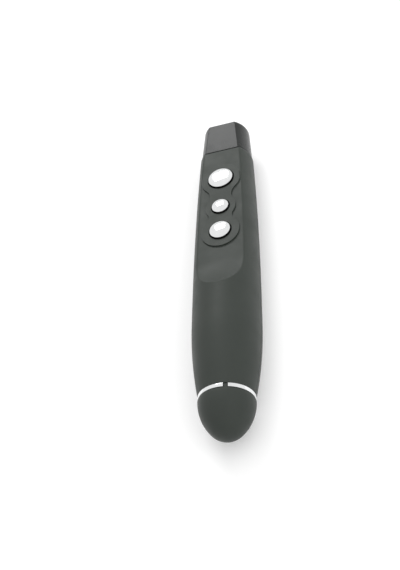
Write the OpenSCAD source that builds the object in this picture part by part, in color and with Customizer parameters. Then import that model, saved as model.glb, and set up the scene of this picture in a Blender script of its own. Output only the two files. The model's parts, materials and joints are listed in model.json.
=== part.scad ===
// Wireless presentation clicker: a round, hand-filling pen with a flat button deck, a glossy nose
// that holds a laser pointer, and a bullet-shaped tail that pulls off as the radio receiver.
// X points right, +Y to the laser tip and +Z up. The pen rests with its belly flat on z = 0, and
// the origin is under its middle. Inside the modules the barrel's own axis is the Y axis, and a
// station s is a distance along it from the tail's tip. Millimetres.

/* [Casing] */
// Length of the two-part casing, from the trim ring to the nose
case_l = 101.1; // [100:0.1:106]
// Radius of the barrel where it is fattest
grip_r = 11.3; // [11.2:0.05:12]
// Radius of the barrel at the trim ring
tail_r = 8.9; // [8.8:0.05:9.4]
// Radius of the casing where the nose starts
seam_r = 9.7; // [9.6:0.05:10.2]
// Length over which the tail swells to the full radius
swell_l = 26; // [22:0.5:32]
// Length that keeps the full radius
grip_l = 10; // [4:0.5:20]
// Thickness of the casing's walls
wall = 1.5; // [1.4:0.05:1.7]
// Height of the lip that joins the two casing halves
lip_h = 1; // [0.6:0.1:1.4]

/* [Deck] */
// Distance from the nose back to where the flat deck starts to run out
deck_l = 52.7; // [51:0.1:60]
// Height of the deck over the barrel's axis, at the nose
deck_h = 7.1; // [6.9:0.05:7.5]
// Slope of the deck, in degrees, rising to the tail
deck_tilt = 0.7; // [0.4:0.1:0.9]
// Radius of the curve that ends the deck
runout_r = 23; // [18:1:30]
// Height of the raised land round the buttons
land_h = 0.5; // [0.3:0.05:0.7]

/* [Buttons] */
// Diameter of the laser button
laser_d = 8.9; // [8.4:0.1:9]
// Diameter of the forward button
forward_d = 6; // [5.4:0.1:6.2]
// Diameter of the back button
back_d = 7.3; // [6.8:0.1:7.6]
// Distance from the nose back to the laser button's centre
laser_edge = 15.2; // [14.9:0.1:15.8]
// Distance from the laser button to the forward button
forward_pitch = 13.8; // [13.6:0.1:14.6]
// Distance from the forward button to the back button
back_pitch = 11.1; // [10.8:0.1:12]
// Width of the land outside the laser button
laser_rim = 2.7; // [2.3:0.1:2.8]
// Width of the land outside the forward button
forward_rim = 2.4; // [2:0.1:2.6]
// Width of the land outside the back button
back_rim = 3.1; // [2.7:0.1:3.3]
// Radius of the waist between the laser and forward buttons
front_waist_r = 5; // [4.5:0.1:6]
// Radius of the waist between the forward and back buttons
rear_waist_r = 3; // [2.6:0.1:4]
// Height of a button's rim over the land
button_rise = 0.65; // [0.5:0.05:1]
// Height of a button's crown over its rim
crown_h = 0.6; // [0.4:0.05:0.8]
// How far a button presses in
press = 0.4; // [0.3:0.05:0.45]
// Gap round a button in its hole
button_gap = 0.3; // [0.2:0.02:0.35]
// Width of the flange that keeps a button in
flange_w = 0.7; // [0.5:0.05:0.8]
// Thickness of that flange
flange_t = 0.7; // [0.5:0.05:0.8]

/* [Circuit] */
// Side of a switch's square body
switch_w = 6; // [5.4:0.1:6.2]
// Height of a switch's body
switch_h = 1.3; // [1.2:0.05:1.5]
// Diameter of a switch's plunger
plunger_d = 3; // [2.6:0.1:3.4]
// Width of the main board
board_w = 13; // [12:0.1:14]
// Thickness of the main board
board_t = 1; // [0.8:0.05:1.2]
// Width of the board's front tongue, which carries the laser diode
tongue_w = 7; // [6:0.1:8]
// Width of the control chip
control_w = 7; // [6:0.1:7.6]
// Length of the control chip
control_l = 9; // [7:0.1:9.6]
// Height of the control chip
control_h = 1.4; // [1:0.1:1.6]
// Side of the radio chip
radio_w = 5; // [4:0.1:5.6]
// Height of the radio chip
radio_h = 0.9; // [0.7:0.1:1.2]
// Width of the crystal's oval can
can_w = 3.6; // [3:0.1:3.8]
// Length of the can between its round ends
can_l = 6.4; // [5.6:0.1:7]
// Height of the can
can_h = 3; // [2.4:0.1:3.4]
// Length of the antenna
antenna_l = 14; // [12:0.5:16]
// Height of the antenna over the board
antenna_h = 3; // [2.4:0.1:3.4]

/* [Battery] */
// Diameter of the cell
cell_d = 10.5; // [10.2:0.1:10.6]
// Length of the cell with its button
cell_l = 44.5; // [44:0.1:45]
// Length of the contact spring behind the cell
spring_l = 4.5; // [4.2:0.1:5]
// Thickness of the spring's wire
spring_wire = 0.5; // [0.4:0.05:0.55]
// Turns of the spring
spring_turns = 3; // [2:1:3]
// Radius of the spring's coil at its foot
spring_foot_r = 3.8; // [3.4:0.1:4]
// Radius of the spring's coil at the cell
spring_tip_r = 1.9; // [1.6:0.1:2.2]
// Thickness of the two contact plates
contact_t = 0.3; // [0.2:0.05:0.4]
// Width of the contact plate behind the spring
spring_plate_w = 9; // [8:0.1:9.6]
// Width of the contact plate at the cell's button
button_plate_w = 8; // [7:0.1:9]
// Reach of both plates below the cell's middle
plate_reach = 4.2; // [3.6:0.1:4.4]
// Width of the tabs that are soldered under the board
tab_w = 4; // [3:0.1:5]
// Length of those tabs
tab_l = 3; // [2.4:0.1:3.6]
// Width of the battery cover
cover_w = 12.2; // [12:0.1:12.6]
// Width of the ledge that the cover closes on
ledge_w = 0.6; // [0.5:0.05:0.7]

/* [Nose] */
// Length of the glossy nose
nose_l = 14.7; // [14:0.1:18]
// Radius of the nose at its tip
nose_tip_r = 8.5; // [8:0.1:8.8]
// Step from the casing down to the nose
nose_step = 0.3; // [0.2:0.05:0.5]
// Radius of the nose's front edge
nose_edge_r = 0.5; // [0.3:0.1:1.5]
// Thickness of the nose's walls
nose_wall = 1.4; // [1.2:0.05:1.6]
// Length of the nose's collar inside the casing
collar_l = 3.4; // [3.2:0.05:3.6]
// Diameter of the laser's brass barrel
module_d = 6; // [5.8:0.1:6.2]
// Length of the laser's brass barrel
module_l = 11.5; // [10.5:0.1:12]
// Diameter of the laser diode's base
diode_d = 5.6; // [5.2:0.1:5.6]
// Diameter of the can on that base
diode_can_d = 3.5; // [3:0.1:4]
// Length of that can
diode_can_l = 2.3; // [1.8:0.1:2.8]
// Thickness of the collimating lens
lens_t = 1.6; // [1.4:0.1:1.8]
// Diameter of the window in front of the beam
window_d = 5; // [4.6:0.1:5.4]

/* [Receiver] */
// Length of the receiver's domed cap
dome_l = 12.5; // [12:0.1:15]
// Radius of the dome's round tip
dome_tip_r = 6.6; // [6.4:0.1:7]
// Thickness of the dome's wall
dome_wall = 1.2; // [1:0.05:1.4]
// Width of the plug
plug_w = 12; // [11.9:0.05:12.1]
// Height of the plug
plug_h = 4.5; // [4.4:0.05:4.6]
// Length of the plug outside the cap
plug_l = 12; // [11.5:0.1:12.2]
// Thickness of the plug's metal
plug_t = 0.3; // [0.25:0.05:0.35]
// Thickness of the plastic tongue in the plug
tongue_t = 1.95; // [1.8:0.05:2]
// Width of a contact on the tongue
pad_w = 1; // [0.8:0.1:1.2]
// Width of the receiver's board
receiver_board_w = 9; // [8:0.1:10]
// Length of the receiver's board
receiver_board_l = 6.7; // [6:0.1:7.4]
// Thickness of the receiver's board
receiver_board_t = 0.8; // [0.6:0.05:1]
// Side of the receiver's chip
receiver_chip_w = 4; // [3:0.1:4.4]
// Height of the receiver's chip
receiver_chip_h = 0.8; // [0.6:0.05:1]
// Width of the receiver's crystal
receiver_can_w = 1.8; // [1.4:0.1:2.2]
// Length of the receiver's crystal
receiver_can_l = 2.8; // [2.4:0.1:3.4]
// Height of the receiver's crystal
receiver_can_h = 0.7; // [0.5:0.05:0.9]
// Width of the chrome trim ring
ring_w = 1.3; // [1.1:0.05:1.6]
// Thickness of the trim ring
ring_t = 0.7; // [0.6:0.05:0.8]
// Width of the break in the trim ring
ring_break = 1.5; // [1.2:0.1:2]
// Turn of the break from the top, in degrees, to the right
break_turn = 14; // [0:1:40]

/* [Fasteners and fits] */
// Diameter of the two case screws
screw_d = 2; // [1.8:0.1:2.2]
// Length of a screw under its head
screw_l = 6; // [5:0.1:6.4]
// Diameter of a screw's head
screw_head_d = 3.8; // [3.6:0.1:4]
// Radius of the posts that the screws bite into
post_r = 2; // [1.8:0.05:2.1]
// Gap round a part that moves
run_gap = 0.2; // [0.15:0.01:0.25]
// Gap round a part that is seated
seat_gap = 0.1; // [0.05:0.01:0.12]
// Gap round the cell
cell_gap = 0.3; // [0.2:0.05:0.35]
// Gap round a part that is pressed in
fit_gap = 0.05; // [0.03:0.01:0.08]
// Gap between the receiver's plug and its dock
plug_gap = 0.15; // [0.1:0.01:0.2]

/* [Hidden] */

big = 200;              // longer than the pen, for cutting solids
round_fn = 144;         // segments of the large round parts
small_fn = 48;          // segments of the small round parts

// Stations along the axis
ring_s = dome_l + run_gap;                  // rear face of the trim ring
case_s = ring_s + ring_w;                   // shoulder of the casing
seam_s = case_s + case_l;                   // joint of casing and nose
pen_l = seam_s + nose_l;
swell_s = case_s + swell_l;
taper_s = swell_s + grip_l;
deck_s = seam_s - deck_l;                   // where the flat deck runs out
laser_s = seam_s - laser_edge;
forward_s = laser_s - forward_pitch;
back_s = forward_s - back_pitch;

// Barrel: the swell and the taper are arcs that leave the full radius tangentially
function arc_radius(run, drop) = (run * run + drop * drop) / (2 * drop);
function arc_steps(r) = 4 * ceil(0.7 * r);
swell_arc = arc_radius(swell_l, grip_r - tail_r);
taper_arc = arc_radius(seam_s - taper_s, grip_r - seam_r);
function on_arc(arc, run) = grip_r - arc + sqrt(arc * arc - run * run);
function barrel_r(s) = s < swell_s ? on_arc(swell_arc, swell_s - s)
    : s > taper_s ? on_arc(taper_arc, s - taper_s) : grip_r;

// Deck stack: depths below the deck's face, square to it
function deck_z(s, depth = 0) = deck_h + (seam_s - s) * tan(deck_tilt) - depth / cos(deck_tilt);
flange_gap = 0.1;                           // from the casing down to a button's flange
switch_play = 0.1;                          // left over a switch when its button is pressed
flange_d1 = wall + flange_gap;
flange_d2 = flange_d1 + flange_t;           // the flange lies on the plunger here
plunger_h = press + switch_play;            // how far a plunger stands out of its switch
board_d1 = flange_d2 + plunger_h + switch_h;
board_d2 = board_d1 + board_t;
plunger_in = press + 0.2;                   // how far a plunger reaches into its switch

// Battery bay and dock
neck_r = tail_r - wall;                     // bore of the casing's tail
neck_l = 5.5;                               // length of that bore
cavity_s = case_s + neck_l;
dock_floor = 1.5;                           // wall of the dock in front of the plug
plug_play = 0.5;                            // from the parked plug to that wall
dock_s2 = ring_s + plug_l + plug_play + dock_floor;
cell_s1 = dock_s2 + contact_t + spring_l;
cell_s2 = cell_s1 + cell_l;
cell_r = cell_d / 2;
cell_z = deck_z(cell_s2, board_d2) - cell_gap - cell_r;
axis_h = cell_r + cell_gap + wall - cell_z; // height of the barrel's axis over the belly flat
bulkhead_t = 1.25;
cradle_t = 1.2;                             // ribs that the cell lies in
cradle_in = [5, 6];                         // from the cell's ends to the outer two ribs
nub_r = 1.9;                                // the cell's button
nub_l = 1;
bulkhead_s = cell_s2 + contact_t;
cover_in = 2.4;                             // from the dock to the cover
cover_s1 = dock_s2 + cover_in;              // rear edge of the battery cover, its hinge line
cover_s2 = cell_s2 - seat_gap;
hook_w = 2;                                 // the cover's two hinge tabs
hook_l = 1.5;
hook_t = 0.9;
hook_x = 2.2;                               // from the middle to a tab
hook_root = 2;                              // length of a tab on the cover
hook_bite = 0.2;                            // how deep a tab is set in the cover
latch_w = 6;
latch_l = 2.2;

// Screws, in the clear between the buttons' flanges
post_z = -1;                                // foot of a post, seated in its boss
boss_wall = 1.2;
boss_floor = 1.6;                           // under a screw's head
screw_head_t = 1.2;
post_clear = 0.45;                          // from a flange to a post
post_s = [(forward_s + forward_d / 2 + laser_s - laser_d / 2) / 2,
    laser_s + laser_d / 2 + flange_w + post_clear + post_r];
board_s1 = dock_s2 + 0.2;
board_s2 = post_s[1] + post_r + run_gap + 0.9;

// Nose and laser
collar_r = seam_r - wall - seat_gap;
rib_w = 1;                                  // rib of the casing that holds the collar's groove
rib_h = 0.6;
rib_s = seam_s - collar_l + 1.2;
module_s1 = seam_s - 1.4;
module_s2 = module_s1 + module_l;
module_r = module_d / 2;
barrel_wall = 0.8;
mouth_wall = 0.45;                          // of the barrel's wider mouth, round lens and nut
mouth_r = module_r - mouth_wall - fit_gap;
tongue_s2 = module_s1 - 0.3;
pin_r = 0.225;
pin_circle_r = 1.27;
laser_z = deck_z(tongue_s2, board_d2) - pin_r - pin_circle_r * sin(30);
diode_base_t = 1.2;
lens_dome = 0.7;                            // height of the lens's curved face
nut_t = 1;
nut_in = 0.4;                               // from the barrel's mouth to the nut
nut_bore_r = 1.2;
nut_slot = 0.5;
beam_r = 1.8;                               // hole behind the window
lens_s = module_s2 - nut_in - nut_t - lens_t;
window_t = 0.7;

// Receiver
spigot_r = tail_r - ring_t - fit_gap;       // tail of the casing, under the trim ring
base_t = 1.6;
key_h = 0.5;
shield_in = 5;                              // length of the plug's metal inside the cap
catch_w = 2.4;                              // windows in the plug that a socket's springs catch
catch_l = 2.2;
catch_x = 2.9;                              // from the middle to those windows
catch_back = 6.4;                           // from the plug's mouth to their middle
pads_x = [-3.5, -1, 1, 3.5];                // middles of the contacts
pad_t = 0.15;
pad_back = 1.2;                             // from the plug's mouth to the contacts
board_seat = 1;                             // how far the tongue reaches into the cap
receiver_board_s1 = dome_l - board_seat - receiver_board_l;
receiver_edge = 1;                          // from the board's sides to what is on it
receiver_end = 0.6;                         // and from its rear end

// ---- Shared shapes ----

// Puts the barrel's axis at its height over the belly, and the pen's middle over the origin
module placed() translate([0, -pen_l / 2, axis_h]) children();

// Puts a shape square to the deck at a station, on its face or on a level below it
module on_deck(s, depth = 0) translate([0, s, deck_z(s, depth)]) rotate([-deck_tilt, 0, 0]) children();

module revolved(fn = round_fn) rotate([-90, 0, 0]) rotate_extrude($fn = fn) children();

// A rod along the axis, from one station to another
module rod(r, s1, s2, x = 0, z = 0, fn = small_fn)
    translate([x, s1, z]) rotate([-90, 0, 0]) cylinder(r = r, h = s2 - s1, $fn = fn);

// A block centred on x = 0, between two stations and two heights
module block(w, s1, s2, z1, z2) translate([-w / 2, s1, z1]) cube([w, s2 - s1, z2 - z1]);

// A block on or in the deck, between two stations and two depths
module deck_block(w, s1, s2, depth1, depth2, x = 0)
    on_deck(s1, depth2) translate([x - w / 2, 0, 0]) cube([w, s2 - s1, depth2 - depth1]);

// Half section of the barrel, drawn in by inset, between two stations
module barrel_section(inset, s1, s2) {
    intersection() {
        translate([0, s1]) square([big, swell_s - s1]);
        translate([grip_r - swell_arc, swell_s]) circle(r = swell_arc - inset, $fn = arc_steps(swell_arc));
    }
    translate([0, swell_s]) square([grip_r - inset, grip_l]);
    intersection() {
        translate([0, taper_s]) square([big, s2 - taper_s]);
        translate([grip_r - taper_arc, taper_s]) circle(r = taper_arc - inset, $fn = arc_steps(taper_arc));
    }
}

// All that lies above the deck and its curved end, drawn in by inset
module above_deck(inset) on_deck(deck_s) rotate([90, 0, 90])
    linear_extrude(height = big, center = true) {
        translate([0, -inset]) square([big, big]);
        intersection() {
            translate([-big, -inset]) square([big, big]);
            translate([0, runout_r]) circle(r = runout_r + inset, $fn = 4 * round_fn);
        }
    }

// The barrel with its deck and belly flat, drawn in by inset
module barrel(inset, s1, s2) difference() {
    revolved() barrel_section(inset, s1, s2);
    above_deck(inset);
    block(big, -big, big, -big, inset - axis_h);
}

// ---- Deck and buttons ----

function laser_land_r() = laser_d / 2 + laser_rim;
function forward_land_r() = forward_d / 2 + forward_rim;
function back_land_r() = back_d / 2 + back_rim;

// Where a waist circle touches two lands: its centre, from the first land's centre
function waist(r1, r2, pitch, waist_r) =
    let (a = r1 + waist_r, b = r2 + waist_r, along = (pitch * pitch + a * a - b * b) / (2 * pitch))
    [sqrt(a * a - along * along), along];

// Points of an arc round a centre, from one angle to another
function arc(centre, r, a1, a2, steps) =
    [for (i = [0:steps]) centre + r * [cos(a1 + (a2 - a1) * i / steps), sin(a1 + (a2 - a1) * i / steps)]];

function angle_to(from, to) = atan2(to[1] - from[1], to[0] - from[0]);

// Right half of the land's outline, from the back button's end to the laser button's end
function land_half() =
    let (back_c = [0, 0], forward_c = [0, back_pitch], laser_c = [0, back_pitch + forward_pitch],
        rear_c = back_c + waist(back_land_r(), forward_land_r(), back_pitch, rear_waist_r),
        front_c = forward_c + waist(forward_land_r(), laser_land_r(), forward_pitch, front_waist_r))
    concat(
        arc(back_c, back_land_r(), -90, angle_to(back_c, rear_c), 20),
        arc(rear_c, rear_waist_r, 180 + angle_to(back_c, rear_c), 180 + angle_to(rear_c, forward_c) - 180, 8),
        arc(forward_c, forward_land_r(), angle_to(forward_c, rear_c), angle_to(forward_c, front_c), 8),
        arc(front_c, front_waist_r, 180 + angle_to(forward_c, front_c), angle_to(front_c, laser_c), 10),
        arc(laser_c, laser_land_r(), angle_to(laser_c, front_c), 90, 22));

// Raised land round the three buttons, trimmed where it would stand out of the round barrel
module land() intersection() {
    on_deck(back_s) translate([0, 0, -wall / 2])
        linear_extrude(height = wall / 2 + land_h) for (side = [0, 1]) mirror([side, 0])
            polygon(concat([[0, back_pitch + forward_pitch + laser_land_r()], [0, -back_land_r()]],
                land_half()));
    revolved() barrel_section(0, case_s, seam_s);
}

module button_hole(d, s) on_deck(s) translate([0, 0, -2 * wall])
    cylinder(d = d + 2 * button_gap, h = 3 * wall + land_h, $fn = small_fn);

// A domed cap with its stem and the flange that keeps it under the casing
module button(d, s) on_deck(s) rotate_extrude($fn = round_fn) {
    rim = land_h + button_rise;
    crown_arc = arc_radius(d / 2, crown_h);
    translate([0, -flange_d2]) square([d / 2 + flange_w, flange_t]);
    translate([0, -flange_d1]) square([d / 2, flange_d1 + rim]);
    intersection() {
        translate([0, rim]) square([d / 2, crown_h]);
        translate([0, rim + crown_h - crown_arc]) circle(r = crown_arc, $fn = 16 * round_fn);
    }
}

module plunger(s) on_deck(s) translate([0, 0, -flange_d2 - plunger_h - plunger_in])
    cylinder(d = plunger_d, h = plunger_h + plunger_in, $fn = small_fn);

// A flat switch: its body, steel cover plate and four feet
module switch(s) on_deck(s) translate([0, 0, -board_d1]) difference() {
    plate_t = 0.25;
    foot = [1, 0.7, 0.4];
    union() {
        translate([-switch_w / 2, -switch_w / 2, 0]) cube([switch_w, switch_w, switch_h - plate_t]);
        translate([-switch_w / 2 + 0.3, -switch_w / 2 + 0.3, 0])
            cube([switch_w - 0.6, switch_w - 0.6, switch_h]);
        for (x = [-1, 1], y = [-1, 1])
            translate([x * (switch_w + foot[0]) / 2, y * switch_w / 3, foot[2] / 2])
                cube([foot[0] + 0.4, foot[1], foot[2]], center = true);
    }
    translate([0, 0, switch_h - plunger_in - 0.45])
        cylinder(d = plunger_d + 0.1, h = plunger_in + 1, $fn = small_fn);
}

// ---- Casing ----

// Both halves in one: walls, tail spigot, land and the rib that holds the nose
module casing() difference() {
    union() {
        barrel(0, case_s, seam_s);
        rod(spigot_r, ring_s, case_s + 1, fn = round_fn);
        land();
    }
    difference() {
        barrel(wall, cavity_s, seam_s + 1);
        difference() {
            rod(big, rib_s, rib_s + rib_w);
            rod(collar_r - rib_h + seat_gap, rib_s - 1, rib_s + rib_w + 1, fn = round_fn);
        }
    }
    rod(neck_r, ring_s - 1, cavity_s + 0.5, fn = round_fn);
    button_hole(laser_d, laser_s);
    button_hole(forward_d, forward_s);
    button_hole(back_d, back_s);
}

// Inner half of the wall over the seam of the halves: the lip, or the room for it
module lip_band(inset, top) intersection() {
    difference() {
        barrel(inset, cavity_s + 1, rib_s - 1);
        barrel(wall, cavity_s, rib_s);
    }
    block(big, 0, big, -0.5, top);
}

module upper_shell() color("dimgray") placed() {
    difference() {
        casing();
        block(big, -1, big, -big, 0);
        lip_band(wall / 2, lip_h + seat_gap);
    }
    pilot_l = screw_l - boss_floor + 0.5;
    for (s = post_s) translate([0, s, post_z]) difference() {
        cylinder(r = post_r, h = deck_z(s, wall / 2) - post_z, $fn = small_fn);
        translate([0, 0, -1]) cylinder(d = screw_d + seat_gap, h = pilot_l + 1, $fn = small_fn);
    }
}

// Space that the battery cover closes; its inner half is narrower, so that a ledge is left
module cover_space(gap) {
    half = cover_w / 2 + gap;
    difference() {
        block(2 * half, cover_s1 - gap, cover_s2 + gap, -big, 0);
        barrel(wall / 2 + (gap > 0 ? 0 : -seat_gap), case_s, seam_s);
    }
    block(2 * (half - ledge_w), cover_s1 - gap, cover_s2 + gap, -big, cell_z - cell_r / 2);
    block(latch_w + 2 * gap, cover_s2 - 1, cover_s2 + latch_l + gap, -big, wall - axis_h + 0.5);
}

module cell_space() rod(cell_r + cell_gap / 2, dock_s2, cell_s2, z = cell_z);

module screw_boss(s) {
    boss_r = post_r + seat_gap + boss_wall;
    boss_top = deck_z(s + boss_r, board_d2);
    intersection() {
        translate([0, s, -axis_h]) cylinder(r = boss_r, h = axis_h + boss_top, $fn = small_fn);
        union() {
            barrel(0.5, case_s, seam_s);
            block(big, 0, big, 0, big);
        }
    }
}

module screw_well(s) translate([0, s, 0]) {
    translate([0, 0, post_z]) cylinder(r = post_r + seat_gap, h = big, $fn = small_fn);
    translate([0, 0, -big / 2]) cylinder(d = screw_d + 2 * seat_gap, h = big / 2, $fn = small_fn);
    translate([0, 0, -big]) cylinder(d = screw_head_d + 0.6, h = big + post_z - boss_floor, $fn = small_fn);
}

module lower_shell() color("dimgray") placed() difference() {
    union() {
        difference() {
            casing();
            block(big, -1, big, 0, big);
        }
        lip_band(wall / 2 + seat_gap, lip_h);
        intersection() {
            barrel(wall / 2, case_s, seam_s);
            union() {
                for (s = [cell_s1 + cradle_in[0], (cell_s1 + cell_s2) / 2, cell_s2 - cradle_in[1]])
                    block(big, s, s + cradle_t, -big, -0.5);
                block(big, bulkhead_s, bulkhead_s + bulkhead_t, -big, -0.5);
            }
        }
        for (s = post_s) screw_boss(s);
    }
    cell_space();
    cover_space(run_gap);
    for (s = post_s) screw_well(s);
}

// Battery cover: a lid that swings on two tabs at its rear edge, with a latch tab in front
module battery_cover() color("dimgray") placed() {
    intersection() {
        difference() {
            barrel(0, case_s, seam_s);
            barrel(wall, cavity_s, seam_s);
        }
        cover_space(0);
    }
    tab_z = wall - axis_h;
    for (side = [-1, 1]) translate([side * hook_x, 0, 0]) {
        block(hook_w, cover_s1 - run_gap - hook_l, cover_s1 + hook_root, tab_z + seat_gap, tab_z + hook_t);
        block(hook_w, cover_s1 + run_gap, cover_s1 + hook_root, tab_z - hook_bite, tab_z + hook_t);
    }
}

module case_screws() color("silver") placed() for (s = post_s) translate([0, s, post_z - boss_floor]) {
    recess = [2.2, 0.5, 0.9];               // width, breadth and depth of the cross
    translate([0, 0, -screw_head_t]) difference() {
        cylinder(d = screw_head_d, h = screw_head_t, $fn = small_fn);
        for (a = [0, 90]) rotate(a) cube([recess[0], recess[1], 2 * recess[2]], center = true);
    }
    cylinder(d = screw_d, h = screw_l, $fn = small_fn);
}

// ---- Nose and laser ----

nose_r = seam_r - nose_step;

// Half section of the nose: a taper with a rounded front corner
module nose_section() {
    centre = [nose_tip_r - nose_edge_r, pen_l - nose_edge_r];
    foot = [nose_r, seam_s];
    tilt = angle_to(centre, foot) + acos(nose_edge_r / norm(foot - centre));
    polygon([[0, seam_s], foot, centre + nose_edge_r * [cos(tilt), sin(tilt)], centre, [0, centre[1]]]);
    intersection() {
        translate(centre) circle(r = nose_edge_r, $fn = round_fn);
        polygon([centre, centre + 2 * nose_edge_r * [cos(tilt), sin(tilt)], centre + 2 * nose_edge_r * [1, 1],
            centre + 2 * nose_edge_r * [0, 1]]);
    }
    translate([0, centre[1]]) square([centre[0], nose_edge_r]);
}

module nose_cap() color("black") placed() {
    hollow_s = seam_s + 1;
    front_s = pen_l - nose_wall;
    difference() {
        union() {
            difference() {
                revolved() nose_section();
                above_deck(0);
            }
            difference() {
                rod(collar_r, seam_s - collar_l, seam_s + 1, fn = round_fn);
                above_deck(wall + seat_gap);
            }
        }
        difference() {
            union() {
                revolved() polygon([[0, hollow_s], [nose_r - nose_wall, hollow_s],
                    [nose_tip_r - nose_wall, front_s], [0, front_s]]);
                rod(collar_r - nose_wall, seam_s - collar_l - 1, hollow_s + 0.5, fn = round_fn);
            }
            block(big, 0, big, deck_z(seam_s) - wall - seat_gap - nose_wall, big);
            rod(module_r + seat_gap / 2 + 1, module_s2 - 8, big, z = laser_z);
        }
        difference() {
            rod(big, rib_s - seat_gap, rib_s + rib_w + seat_gap);
            rod(collar_r - rib_h, rib_s - 1, rib_s + rib_w + 1, fn = round_fn);
        }
        rod(module_r + seat_gap / 2, module_s1 - 1, module_s2, z = laser_z);
        rod(beam_r, module_s2 - 1, pen_l + 1, z = laser_z);
        rod(window_d / 2 + seat_gap / 2, pen_l - window_t - seat_gap, pen_l + 1, z = laser_z);
    }
}

module laser_window() color("lightgray") placed()
    rod(window_d / 2, pen_l - window_t - seat_gap, pen_l - seat_gap, z = laser_z);

module laser_barrel() color("goldenrod") placed() difference() {
    rod(module_r, module_s1, module_s2, z = laser_z);
    rod(diode_d / 2 + fit_gap, module_s1 - 1, module_s1 + diode_base_t, z = laser_z);
    rod(module_r - barrel_wall, module_s1, module_s2 + 1, z = laser_z);
    rod(module_r - mouth_wall, lens_s, module_s2 + 1, z = laser_z);
}

module collimating_lens() color("lightcyan") placed() {
    face_arc = arc_radius(mouth_r, lens_dome);
    translate([0, 0, laser_z]) revolved() {
        translate([0, lens_s]) square([mouth_r, lens_t - lens_dome]);
        intersection() {
            translate([0, lens_s + lens_t - lens_dome]) square([mouth_r, lens_dome]);
            translate([0, lens_s + lens_t - face_arc]) circle(r = face_arc, $fn = 4 * round_fn);
        }
    }
}

module lens_nut() color("darkgoldenrod") placed() difference() {
    rod(mouth_r, module_s2 - nut_in - nut_t, module_s2 - nut_in, z = laser_z);
    rod(nut_bore_r, module_s1, pen_l, z = laser_z);
    block(module_d, module_s2 - 2 * nut_in, module_s2, laser_z - nut_slot / 2, laser_z + nut_slot / 2);
}

// Diode can with two pins under the board's tongue and a short third one
module laser_diode() color("silver") placed() translate([0, 0, laser_z]) {
    rod(diode_d / 2, module_s1, module_s1 + diode_base_t);
    rod(diode_can_d / 2, module_s1 + diode_base_t, module_s1 + diode_base_t + diode_can_l);
    for (pin = [[30, 2], [150, 2], [270, 0.8]])
        rod(pin_r, module_s1 - pin[1], module_s1, x = pin_circle_r * cos(pin[0]),
            z = pin_circle_r * sin(pin[0]), fn = 16);
}

// ---- Buttons and their switches ----

module laser_button() color("lightgray") placed() button(laser_d, laser_s);
module laser_plunger() color("brown") placed() plunger(laser_s);
module laser_switch() color("darkslategray") placed() switch(laser_s);
module forward_button() color("lightgray") placed() button(forward_d, forward_s);
module forward_plunger() color("brown") placed() plunger(forward_s);
module forward_switch() color("darkslategray") placed() switch(forward_s);
module back_button() color("lightgray") placed() button(back_d, back_s);
module back_plunger() color("brown") placed() plunger(back_s);
module back_switch() color("darkslategray") placed() switch(back_s);

// ---- Circuit ----

// Board with a tongue in front, drilled for the posts
module main_board() color("darkgreen") placed()
    on_deck(board_s1, board_d2) linear_extrude(height = board_t) difference() {
        union() {
            translate([-board_w / 2, 0]) square([board_w, board_s2 - board_s1]);
            translate([-tongue_w / 2, 0]) square([tongue_w, tongue_s2 - board_s1]);
        }
        for (s = post_s) translate([0, s - board_s1]) circle(r = post_r + run_gap, $fn = small_fn);
    }

// The chips follow each other towards the tail, from the back switch, with these gaps between
chip_gaps = [5, 4, 0.5];
control_s = back_s - switch_w / 2 - chip_gaps[0] - control_l / 2;
radio_s = control_s - control_l / 2 - chip_gaps[1] - radio_w / 2;
can_s = radio_s - radio_w / 2 - chip_gaps[2] - (can_l + can_w) / 2;

// A part soldered on top of the board, by its middle
module board_chip(x, s, size)
    deck_block(size[0], s - size[1] / 2, s + size[1] / 2, board_d1 - size[2], board_d1, x);

module radio_chip() color("black") placed() board_chip(0, radio_s, [radio_w, radio_w, radio_h]);
module control_chip() color("black") placed() board_chip(0, control_s, [control_w, control_l, control_h]);

// Oval crystal can
module board_crystal() color("silver") placed() on_deck(can_s) translate([0, 0, -board_d1]) {
    translate([-can_w / 2, -can_l / 2, 0]) cube([can_w, can_l, can_h]);
    for (side = [-1, 1]) translate([0, side * can_l / 2, 0]) cylinder(d = can_w, h = can_h, $fn = small_fn);
}

// Resistors and capacitors, in two rows beside the chips
module board_parts() color("tan") placed() {
    part_w = 1;
    part_l = 1.8;
    heights = [0.5, 0.5, 0.9];
    pitch = 4.4;
    edge = 1.2;                             // from a row's middle to the board's side
    first_s = control_s + 3.4;
    for (side = [-1, 1], i = [0:6])
        board_chip(side * (board_w / 2 - edge), first_s - pitch * i, [part_w, part_l, heights[i % 3]]);
}

// Bent-metal antenna over the rear of the board
module antenna() color("gold") placed() {
    strip = 1.2;
    sheet = 0.3;
    x = -board_w / 2 + 3.4;
    s = board_s1 + 1;
    top = board_d1 - antenna_h;
    deck_block(strip, s, s + antenna_l, top, top + sheet, x);
    for (leg = [0, 4]) deck_block(strip, s + leg, s + leg + sheet, top, board_d1, x);
}

// ---- Battery ----

module aaa_cell() color("steelblue") placed() translate([0, 0, cell_z]) {
    rod(cell_r, cell_s1, cell_s2 - nub_l, fn = round_fn);
    rod(nub_r, cell_s1, cell_s2);
}

// Spring wire: a straight foot, a cone of turns and a straight tip, along the axis
spring_steps = 8;
function spring_point(i) =
    let (t = i / (spring_steps * spring_turns), r = spring_foot_r + (spring_tip_r - spring_foot_r) * t,
        a = 360 * i / spring_steps)
    [r * cos(a), spring_wire * 2 + (spring_l - spring_wire * 4) * t, r * sin(a)];
spring_path = concat([[spring_foot_r, 0, 0], [spring_foot_r, spring_wire, 0]],
    [for (i = [0:spring_steps * spring_turns]) spring_point(i)],
    [[spring_tip_r, spring_l - spring_wire, 0], [spring_tip_r, spring_l, 0]]);

function unit(v) = v / norm(v);

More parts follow.
